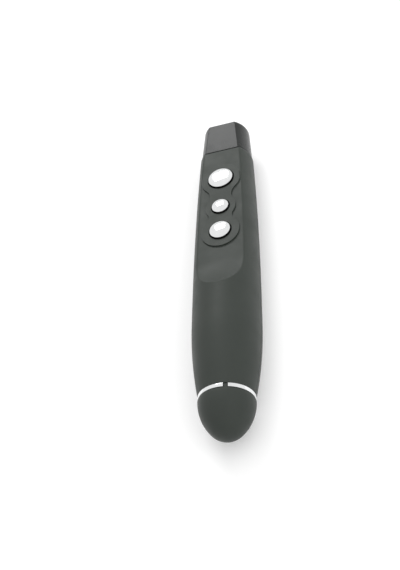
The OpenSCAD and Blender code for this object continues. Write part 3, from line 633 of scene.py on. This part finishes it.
# Right half of the outline is arcs round the buttons, with waists between that touch both
def landOutline(bm, level):
    def waist(a, b, radius):
        first, second, pitch = a[1] + radius, b[1] + radius, (b[0] - a[0]).length
        along = (pitch * pitch + first * first - second * second) / (2 * pitch)
        return Vector((math.sqrt(first * first - along * along), a[0].y + along, 0))

    places = {}
    for name in ("back", "forward", "laser"):
        b = buttons[name]
        places[name] = (Vector((0, buttons["back"]["back"] - b["back"], 0)), b["width"] / 2 + b["rim"])
    back, forward, laser = places["back"], places["forward"], places["laser"]
    rear = waist(back, forward, land["rearWaist"])
    front = waist(forward, laser, land["frontWaist"])
    arcs = [
        (back[0], -math.pi / 2, angleTo(back[0], rear)),
        (rear, math.pi + angleTo(back[0], rear), angleTo(rear, forward[0])),
        (forward[0], angleTo(forward[0], rear), angleTo(forward[0], front)),
        (front, math.pi + angleTo(forward[0], front), angleTo(front, laser[0])),
        (laser[0], angleTo(laser[0], front), math.pi / 2),
    ]
    last = bm.verts.new((0, -back[1], level))
    for (centre, start, end), steps in zip(arcs, land["steps"]):
        made = bmesh.ops.spin(bm, geom=[last], cent=(centre.x, centre.y, level), axis=(0, 0, 1),
                              dvec=(0, 0, 0), angle=end - start, steps=steps)
        last = next(g for g in made["geom_last"] if isinstance(g, bmesh.types.BMVert))
    bmesh.ops.mirror(bm, geom=bm.verts[:] + bm.edges[:], matrix=Matrix.Identity(4), merge_dist=2 * weld,
                     axis="X")
    bmesh.ops.remove_doubles(bm, verts=bm.verts, dist=2 * weld)


def landMesh():
    top = land["rise"] - casing["skin"]
    bm = bmesh.new()
    landOutline(bm, -past)
    bmesh.ops.contextual_create(bm, geom=bm.edges[:])
    raised = bmesh.ops.extrude_face_region(bm, geom=bm.faces[:])
    bmesh.ops.translate(bm, verts=[g for g in raised["geom"] if isinstance(g, bmesh.types.BMVert)],
                        vec=(0, 0, top + past))
    bmesh.ops.recalc_face_normals(bm, faces=bm.faces)
    place = onDeck(buttons["back"]["back"])
    onMesh(bm, place)
    run, count = seamY + past - shoulderY, land["stations"]
    stations = [shoulderY + run * i / count for i in range(count + 1)]
    barrel = lofted([plainRing(y, barrelRadius(min(y, seamY)) - land["barrelInset"], land["around"])
                     for y in stations])
    bm = carved(bm, barrel, "INTERSECT")
    back = place.inverted()
    return softened(bm, land["edge"], land["sharp"], lambda co: (back @ co).z > top - 3 * weld)


# What rounds the rim of a round hole: a plug whose side flares out at the top
def rimCutter(radius, rounding):
    flare = arcPoints((radius + rounding, -rounding), rounding, 180, 90, 6)
    return turned([(0, -rounding)] + flare + [(radius + rounding, past), (0, past)])


def deckSkin(skin):
    skin = carved(skin, landMesh(), "UNION")
    for b in buttons.values():
        hole = b["width"] / 2 + land["gap"] - hair
        cutter = onMesh(rimCutter(hole, land["rimRound"]),
                        onDeck(b["back"]) @ Matrix.Translation((0, 0, land["rise"] - casing["skin"])))
        skin = carved(skin, cutter, "DIFFERENCE")
    return skin


def casingHalf(node, name, cut):
    packed = swollen(cadCopy(node), deckHeight, barrelRadius, 0.0)
    return shown(combed(carved(packed, cut, "INTERSECT")), name, finishes["softCoat"], node)


# Grip: short rounded grooves across the battery cover, near its latch
grip = {"grooves": 4, "pitch": 1.5 * mm, "back": 3.6 * mm, "radius": 0.7 * mm, "depth": 0.28 * mm,
        "half": 3.2 * mm, "around": 32}


def gripSkin(skin):
    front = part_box("battery_cover")[1].y - grip["back"]
    for i in range(grip["grooves"]):
        ends = arcPoints((0, grip["half"]), grip["radius"], 0, 90, 6)
        rod = turned([(r, -z) for r, z in reversed(ends)] + ends, grip["around"])
        onMesh(rod, Matrix.Translation((0, front - grip["pitch"] * i, grip["depth"] - grip["radius"]))
               @ Matrix.Rotation(math.radians(90), 4, "Y"))
        skin = carved(skin, rod, "DIFFERENCE")
    return skin


skin = casingSkin()
print("casing skin made:", len(skin.faces), "faces")
casingHalf("lower_shell", "lowerShell", skin.copy())
casingHalf("battery_cover", "batteryCover", gripSkin(skin.copy()))
casingHalf("upper_shell", "upperShell", deckSkin(skin))
print("casing made")

# Nose: a taper with the deck's flat carried on, crisp long edges and a rounded front
nose = {
    "baseRadius": 9.4 * mm,
    "tipRadius": 8.5 * mm,
    "collar": 8.25 * mm,
    "collarLength": 4 * mm,
    "collarDrop": 0.3 * mm,  # of the collar's flat, under the deck
    "flatRound": 0.4 * mm,
    "frontRound": 0.5 * mm,
    "baseRound": 0.2 * mm,
    "windowHole": 2.55 * mm,
    "windowRound": 0.2 * mm,
    "flatInset": 0.7,        # of the skin's inset, on the flat
    "steps": (8, 6, 26, 1, 1),
    "middleStart": 1 * mm,   # in front of the joint
    "middleSteps": 10,
}


def noseRadius(y):
    share = (y - seamY) / (tipY - nose["frontRound"] - seamY)
    return nose["baseRadius"] + (nose["tipRadius"] - nose["baseRadius"]) * share


def noseRing(y, inset):
    drawn = inset + casing["skin"]
    half = halfSection(noseRadius(y) - drawn, deckPlane(y) - drawn * nose["flatInset"], noseRadius(y),
                       nose["flatRound"], nose["flatRound"], 0.0, nose["steps"])
    return y, wholeSection(half)


def noseSkin():
    start, base, front = seamY + casing["endGap"], nose["baseRound"], nose["frontRound"]
    turns = [math.radians(a) for a in (0, 15, 30, 45, 60, 75, 90)]
    plain = wholeSection(halfSection(nose["collar"], deckPlane(seamY) - nose["collarDrop"], nose["collar"],
                                     nose["flatRound"], nose["flatRound"], 0.0, nose["steps"]))
    collar = [(y, plain) for y in (seamY - nose["collarLength"], start)]
    rear = [noseRing(start + base * (1 - math.cos(a)), base * (1 - math.sin(a))) for a in turns[::2]]
    middleY, count = seamY + nose["middleStart"], nose["middleSteps"]
    length = tipY - front - middleY
    middle = [noseRing(middleY + length * i / count, 0) for i in range(count)]
    tip = [noseRing(tipY - casing["skin"] - front * (1 - math.cos(a)), front * (1 - math.sin(a)))
           for a in reversed(turns)]
    bm = lofted(collar + rear + middle + tip)
    rim = onMesh(rimCutter(nose["windowHole"] - hair, nose["windowRound"]),
                 alongPen(tipY - casing["skin"], beamZ))
    return carved(bm, rim, "DIFFERENCE")


noseCopy = swollen(cadCopy("nose_cap"), deckPlane, noseRadius, -1.0)
shown(carved(noseCopy, noseSkin(), "INTERSECT"), "noseCap", finishes["glossShell"], "nose_cap")
print("nose made")

# Buttons: chrome caps with a domed crown, a rounded rim, a short wall painted near-black as shade, and the
# flange below
key = {"rise": 0.65 * mm, "crown": 0.6 * mm, "flange": 0.7 * mm, "flangeTop": 1.6 * mm, "rimRound": 0.3 * mm,
       "shadeBelowRim": 0.12 * mm, "flangeRound": 0.08 * mm, "crownSteps": 8, "around": 128, "sharp": 40}


def buttonMesh(width):
    radius = width / 2
    rim = land["rise"] + key["rise"]
    arc = (radius * radius + key["crown"] ** 2) / (2 * key["crown"])
    reach = math.degrees(math.asin(radius / arc))
    crown = arcPoints((0, rim + key["crown"] - arc), arc, 90 - reach, 90, key["crownSteps"])
    foot = -key["flangeTop"] - key["flange"]
    wall = [(0, foot), (radius + key["flange"], foot), (radius + key["flange"], -key["flangeTop"]),
            (radius, -key["flangeTop"])]
    bm = turned(wall + crown, key["around"])
    softened(bm, key["rimRound"], key["sharp"], lambda co: co.z > 0, 5)
    return softened(bm, key["flangeRound"], key["sharp"], lambda co: co.z < 0, 2)


# The wall under the rim is painted near-black: painted shade of the gap round the button, and a painted
# reflection of the dark deck in its plated side
def platedOverShade(bm):
    shadeTop = land["rise"] + key["rise"] - key["shadeBelowRim"]
    for face in bm.faces:
        face.material_index = 1 if face.calc_center_median().z < shadeTop else 0
    return bm


for name, b in buttons.items():
    shown(onMesh(platedOverShade(buttonMesh(b["width"])), onDeck(b["back"])), name + "Key",
          [finishes["chromePlate"], finishes["keyWallPaintedShade"]], name + "_button")
print("buttons made")

# Trim ring: a bright band with rounded corners, open at its break
ring = {"thickness": 0.7 * mm, "break": 1.5 * mm, "breakTurn": 14, "round": 0.18 * mm, "around": 140}


def ringMesh():
    outer, inner = casing["tailRadius"], casing["tailRadius"] - ring["thickness"]
    width, corner = ringHigh.y - ringLow.y, ring["round"]
    profile = [(inner, 0)] + arcPoints((outer - corner, corner), corner, -90, 0, 5)
    profile += arcPoints((outer - corner, width - corner), corner, 0, 90, 5) + [(inner, width)]
    gap = 2 * math.asin(ring["break"] / 2 / outer)
    bm = bmesh.new()
    verts = chain(bm, [(r, 0, z) for r, z in profile])
    bm.edges.new((verts[-1], verts[0]))
    bmesh.ops.rotate(bm, verts=bm.verts, cent=(0, 0, 0), matrix=Matrix.Rotation(gap / 2, 3, "Z"))
    start = bmesh.ops.contextual_create(bm, geom=bm.edges[:])["faces"]
    bmesh.ops.spin(bm, geom=start + bm.edges[:] + bm.verts[:], cent=(0, 0, 0), axis=(0, 0, 1), dvec=(0, 0, 0),
                   angle=2 * math.pi - gap, steps=ring["around"])
    tidied(bm)
    # The profile's start faces +X there; lay it along the pen with the break right of the top
    return onMesh(bm, alongPen(ringLow.y) @ Matrix.Rotation(math.radians(ring["breakTurn"] - 90), 4, "Z"))


shown(ringMesh(), "trimRing", finishes["chromePlate"], "trim_ring")
print("ring made")

# Receiver's cap: a hollow bullet with a small edge at the ring, and the key that fits the ring's break
dome = {"tipRadius": 6.6 * mm, "wall": 1.2 * mm, "edge": 0.18 * mm, "keyHeight": 0.5 * mm, "keyGap": 0.2 * mm,
        "keyRoot": 1 * mm, "keyRound": 0.12 * mm, "tipSteps": 18, "sideSteps": 12, "around": 128}
baseLow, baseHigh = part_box("receiver_base")


def domeMesh():
    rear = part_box("receiver_dome")[0].y
    length, radius, tip = baseHigh.y - rear, casing["tailRadius"], dome["tipRadius"]
    run = length - tip
    arc = (radius ** 2 + run ** 2 - tip ** 2) / (2 * (radius - tip))
    meet = math.degrees(math.atan2(-run, arc - radius))

    def shell(inset):
        end = arcPoints((0, tip), tip - inset, -90, meet, dome["tipSteps"])
        return end + arcPoints((radius - arc, length), arc - inset, meet, 0, dome["sideSteps"])[1:]

    seat = baseHigh.y - baseLow.y
    bore = radius - dome["wall"]
    rim = arcPoints((radius - dome["edge"], length - dome["edge"]), dome["edge"], 0, 90, 4)
    inner = [p for p in reversed(shell(dome["wall"])) if p[1] < length - seat]
    profile = shell(0)[:-1] + rim + [(bore, length), (bore, length - seat)] + inner
    bm = onMesh(turned(profile, dome["around"]), alongPen(rear))
    half, foot = ring["break"] / 2 - dome["keyGap"], radius - ring["thickness"]
    tab = softened(blockMesh((-half, baseHigh.y - dome["keyRoot"], foot),
                             (half, ringHigh.y - dome["keyGap"], foot + dome["keyHeight"])), dome["keyRound"])
    onMesh(tab, Matrix.Translation((0, 0, axisZ))
           @ Matrix.Rotation(math.radians(ring["breakTurn"]), 4, "Y"))
    return carved(bm, tab, "UNION")


shown(domeMesh(), "receiverDome", finishes["softCoat"], "receiver_dome")

# Plug: folded sheet with catch windows and a seam, a moulded tongue and four contacts
plug = {"sheet": 0.3 * mm, "fold": 0.55 * mm, "windowAside": 2.9 * mm, "windowBack": 6.4 * mm,
        "window": (2.4 * mm, 2.2 * mm), "windowRound": 0.25 * mm, "seam": 0.08 * mm, "lip": 0.1 * mm,
        "tongueRound": 0.25 * mm, "padsAside": (-3.5 * mm, -1 * mm, 1 * mm, 3.5 * mm), "padRound": 0.3 * mm,
        "sharp": 60}


# A block whose edges along one axis are rounded
def roundedBlock(low, high, rounding, axis="Y", segments=4):
    bm = blockMesh(low, high)
    along = "XYZ".index(axis)
    edges = [e for e in bm.edges if abs((e.verts[0].co - e.verts[1].co)[along]) > hair]
    return bevelled(bm, edges, rounding, segments)


def shieldMesh():
    low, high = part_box("usb_shield")
    sheet = Vector((plug["sheet"], -past, plug["sheet"]))
    bm = carved(roundedBlock(low, high, plug["fold"]),
                roundedBlock(low + sheet, high - sheet, plug["fold"] - plug["sheet"]), "DIFFERENCE")
    softened(bm, plug["lip"], plug["sharp"], lambda co: co.y > high.y - hair, 2)
    width, length = plug["window"]
    for side in (-1, 1):
        x, y = side * plug["windowAside"], high.y - plug["windowBack"]
        opening = roundedBlock((x - width / 2, y - length / 2, low.z - past),
                               (x + width / 2, y + length / 2, high.z + past), plug["windowRound"], "Z")
        bm = carved(bm, opening, "DIFFERENCE")
    seam = blockMesh((-plug["seam"] / 2, low.y - past, low.z - past),
                     (plug["seam"] / 2, high.y + past, low.z + plug["sheet"] / 2))
    return carved(bm, seam, "DIFFERENCE")


def tongueMesh():
    low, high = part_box("usb_tongue")
    return softened(blockMesh(low, high), plug["tongueRound"], plug["sharp"],
                    lambda co: co.y > high.y - hair)


def padsMesh():
    low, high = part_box("usb_contacts")
    half = high.x - plug["padsAside"][-1]
    pads = bmesh.new()
    for x in plug["padsAside"]:
        pad = roundedBlock((x - half, low.y, low.z), (x + half, high.y, high.z), plug["padRound"], "Z")
        mesh = bpy.data.meshes.new("pad")
        pad.to_mesh(mesh)
        pad.free()
        pads.from_mesh(mesh)
        bpy.data.meshes.remove(mesh)
    return pads


shown(shieldMesh(), "usbShield", finishes["nickel"], "usb_shield")
shown(tongueMesh(), "usbTongue", finishes["whitePlastic"], "usb_tongue")
shown(padsMesh(), "usbContacts", finishes["goldPlate"], "usb_contacts")

# Dock: the slot's mouth is flared so that the plug finds it
dock = {"flare": 0.5 * mm, "depth": 0.6 * mm, "gap": 0.15 * mm}


def dockMesh():
    low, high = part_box("usb_shield")
    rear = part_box("dock_block")[0].y
    room = Vector((dock["gap"], 0, dock["gap"]))
    mouth = blockMesh(Vector((low.x, rear - dock["depth"], low.z)) - room,
                      Vector((high.x, rear + dock["depth"], high.z)) + room)
    outer = [v for v in mouth.verts if v.co.y < rear]
    wide, tall = (high.x - low.x) / 2 + dock["gap"], (high.z - low.z) / 2 + dock["gap"]
    bmesh.ops.scale(mouth, verts=outer, space=Matrix.Translation((0, 0, -axisZ)),
                    vec=(1 + 2 * dock["flare"] / wide, 1, 1 + 2 * dock["flare"] / tall))
    return combed(carved(cadCopy("dock_block"), mouth, "DIFFERENCE"))


shown(dockMesh(), "dockBlock", finishes["innerPlastic"], "dock_block")
print("receiver and dock made")

# Laser window: a clear disc with a polished edge
window = {"edge": 0.1 * mm, "around": 64}


def windowMesh():
    low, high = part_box("laser_window")
    depth, edge = high.y - low.y, window["edge"]
    rim = arcPoints((high.x - edge, depth - edge), edge, 0, 90, 4)
    disc = turned([(0, 0), (high.x, 0)] + rim + [(0, depth)], window["around"])
    return onMesh(disc, alongPen(low.y, beamZ))


shown(windowMesh(), "laserWindow", finishes["windowGlass"], "laser_window")

# Cell: a printed jacket curled over both ends, a plain band, end plates and the raised button
cell = {"curl": 0.35 * mm, "plate": 3.7 * mm, "groove": 0.2 * mm, "nubRadius": 1.9 * mm, "nub": 1 * mm,
        "nubRound": 0.3 * mm, "band": 11 * mm}
cellLow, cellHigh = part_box("aaa_cell")
cellZ = (cellLow.z + cellHigh.z) / 2


def cellMesh():
    radius, length, curl, groove = cellHigh.x, cellHigh.y - cellLow.y, cell["curl"], cell["groove"]
    body = length - cell["nub"]
    inner = radius - 2 * curl
    rear = [(0, 0), (cell["plate"], 0), (cell["plate"] + groove, groove), (inner, groove)]
    rear += arcPoints((radius - curl, curl), curl, -90, 0, 5)
    front = arcPoints((radius - curl, body - curl), curl, 0, 90, 5) + [(inner, body - groove)]
    front += [(cell["nubRadius"] + groove, body - groove), (cell["nubRadius"], body)]
    nub, rounding = cell["nubRadius"], cell["nubRound"]
    front += arcPoints((nub - rounding, length - rounding), rounding, 0, 90, 4)
    bm = turned(rear + [(radius, body - cell["band"])] + front + [(0, length)])
    for face in bm.faces:
        middle = face.calc_center_median()
        onJacket = math.hypot(middle.x, middle.y) > radius - curl
        face.material_index = 1 if not onJacket else 2 if middle.z > body - cell["band"] else 0
    return onMesh(bm, alongPen(cellLow.y, cellZ))


shown(cellMesh(), "aaaCell", [finishes["cellJacket"], finishes["nickel"], finishes["cellBand"]], "aaa_cell")

# Contact spring: a cone of turns, whose first and last half turns lie flat on the plate and the cell
spring = {"foot": 3.8 * mm, "tip": 1.9 * mm, "wire": 0.5 * mm, "turns": 4, "flat": 0.5, "steps": 32}


def springMesh():
    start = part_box("contact_spring")[0].y
    length = cellLow.y - start - spring["wire"]
    count = spring["turns"] * spring["steps"]
    wire = bpy.data.curves.new("springWire", "CURVE")
    wire.dimensions = "3D"
    wire.bevel_depth = spring["wire"] / 2
    wire.bevel_resolution = 3
    wire.use_fill_caps = True
    path = wire.splines.new("POLY")
    path.points.add(count)
    for i, point in enumerate(path.points):
        turn = i / spring["steps"]
        rise = min(max((turn - spring["flat"]) / (spring["turns"] - 2 * spring["flat"]), 0), 1)
        radius = spring["foot"] + (spring["tip"] - spring["foot"]) * i / count
        a = 2 * math.pi * turn
        y = start + spring["wire"] / 2 + length * rise
        point.co = (radius * math.cos(a), y, cellZ + radius * math.sin(a), 1)
    coil = bpy.data.objects.new("springWire", wire)
    mesh = bpy.data.meshes.new_from_object(coil)
    bm = bmesh.new()
    bm.from_mesh(mesh)
    bpy.data.objects.remove(coil)
    bpy.data.meshes.remove(mesh)
    return tidied(bm)


shown(springMesh(), "contactSpring", finishes["springWire"], "contact_spring", 50)
print("cell and spring made")

# Case screws: pan heads with a cross recess, and a thread that ends in a point
screw = {"head": 1.9 * mm, "headHeight": 1.2 * mm, "headRound": 0.45 * mm, "shaft": 1 * mm, "root": 0.78 * mm,
         "pitch": 0.6 * mm, "crest": 0.75, "recess": (1.15 * mm, 0.26 * mm), "recessDepth": 0.85 * mm,
         "recessTaper": 0.6, "around": 40}


def screwMesh(y, low, high):
    head, rounding, tall = screw["head"], screw["headRound"], screw["headHeight"]
    length = high - low
    points = [(0, 0)] + arcPoints((head - rounding, rounding), rounding, -90, 0, 5) + [(head, tall)]
    turns = int((length - tall - 2 * screw["pitch"]) / screw["pitch"])
    root, pitch = screw["root"], screw["pitch"]
    for i in range(turns):
        z = tall + i * pitch
        points += [(root, z), (root, z + pitch / 2), (screw["shaft"], z + pitch * screw["crest"])]
    bm = turned(points + [(root, tall + turns * pitch), (0, length)], screw["around"])
    wide, thin = screw["recess"]
    for half in ((wide, thin), (thin, wide)):
        slot = blockMesh((-half[0], -half[1], -past), (half[0], half[1], screw["recessDepth"]))
        bmesh.ops.scale(slot, verts=[v for v in slot.verts if v.co.z > 0],
                        vec=(screw["recessTaper"], screw["recessTaper"], 1))
        bm = carved(bm, slot, "DIFFERENCE")
    return onMesh(bm, Matrix.Translation((0, y, low)))


def screwPair():
    low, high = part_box("case_screws")
    pair = screwMesh(low.y + screw["head"], low.z, high.z)
    second = screwMesh(high.y - screw["head"], low.z, high.z)
    mesh = bpy.data.meshes.new("second")
    second.to_mesh(mesh)
    pair.from_mesh(mesh)
    second.free()
    bpy.data.meshes.remove(mesh)
    return pair


shown(screwPair(), "caseScrews", finishes["nickel"], "case_screws")
print("screws made")

# Floor, world and lamps
studio = {"worldStrength": 0.62, "floorTone": 0.82, "floorLift": 0.22, "floorRoughness": 0.9,
          "floorHalf": 2.0, "floorDrop": 0.2 * mm}


# 1 for the rays that show the background itself: straight, in a reflection or through glass
def seenRays(tree):
    rays = tree.nodes.new("ShaderNodeLightPath")
    mirrored = mathNode(tree, "MAXIMUM", rays.outputs["Is Glossy Ray"], rays.outputs["Is Transmission Ray"])
    return mathNode(tree, "MAXIMUM", rays.outputs["Is Camera Ray"], mirrored)


world = bpy.data.worlds.new("studio")
scene.world = world
world.use_nodes = True
sky = world.node_tree.nodes["Background"]
sky.inputs["Color"].default_value = (1, 1, 1, 1)
worldTree = world.node_tree
lift = mathNode(worldTree, "MULTIPLY", seenRays(worldTree), 1 - studio["worldStrength"])
worldTree.links.new(mathNode(worldTree, "ADD", lift, studio["worldStrength"]), sky.inputs["Strength"])

floorMesh = bmesh.new()
bmesh.ops.create_grid(floorMesh, x_segments=1, y_segments=1, size=studio["floorHalf"])
floor = linked(floorMesh, "floor")
floor.location.z = -studio["floorDrop"]
floorPaint = bpy.data.materials.new("floorPaint")
floorPaint.use_nodes = True
floorTree = floorPaint.node_tree
floorShader = floorTree.nodes["Principled BSDF"]
floorShader.inputs["Base Color"].default_value = (*[studio["floorTone"]] * 3, 1)
floorShader.inputs["Roughness"].default_value = studio["floorRoughness"]
floorShader.inputs["Emission Color"].default_value = (1, 1, 1, 1)
floorGlow = mathNode(floorTree, "MULTIPLY", seenRays(floorTree), studio["floorLift"])
floorTree.links.new(floorGlow, floorShader.inputs["Emission Strength"])
floor.data.materials.append(floorPaint)

lampAim = Vector((0, 0, 0.01))
lamps = [
    {"name": "backLamp", "place": (-0.17, 0.70, 0.56), "size": 0.36, "watts": 2.5, "mirrored": True},
    {"name": "keyLamp", "place": (0.30, 0.05, 0.85), "size": 1.3, "watts": 4.6, "mirrored": False},
    {"name": "fillLamp", "place": (0.6, -0.35, 0.5), "size": 0.6, "watts": 1.2, "mirrored": False},
]
for lamp in lamps:
    data = bpy.data.lights.new(lamp["name"], "AREA")
    data.energy = lamp["watts"]
    data.size = lamp["size"]
    lampObject = bpy.data.objects.new(lamp["name"], data)
    lampObject.location = lamp["place"]
    lampObject.visible_glossy = lamp["mirrored"]
    lampObject.rotation_euler = (lampAim - Vector(lamp["place"])).to_track_quat("-Z", "Y").to_euler()
    scene.collection.objects.link(lampObject)

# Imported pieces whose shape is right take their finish
cadFinish = {
    "collimating_lens": "lensGlass",
    "laser_barrel": "brassPlain",
    "lens_nut": "brassPlain",
    "laser_diode": "nickel",
    "spring_contact": "nickel",
    "positive_contact": "nickel",
    "board_crystal": "nickel",
    "receiver_crystal": "nickel",
    "laser_plunger": "brownPlastic",
    "forward_plunger": "brownPlastic",
    "back_plunger": "brownPlastic",
    "laser_switch": "switchPlastic",
    "forward_switch": "switchPlastic",
    "back_switch": "switchPlastic",
    "main_board": "solderMask",
    "receiver_board": "solderMask",
    "radio_chip": "chipPackage",
    "control_chip": "chipPackage",
    "receiver_chip": "chipPackage",
    "board_parts": "ceramic",
    "antenna": "goldPlate",
    "receiver_base": "innerPlastic",
}
for node, look in cadFinish.items():
    nodes[node].data.materials.clear()
    nodes[node].data.materials.append(finishes[look])
print("packed pieces finished:", len(cadFinish))
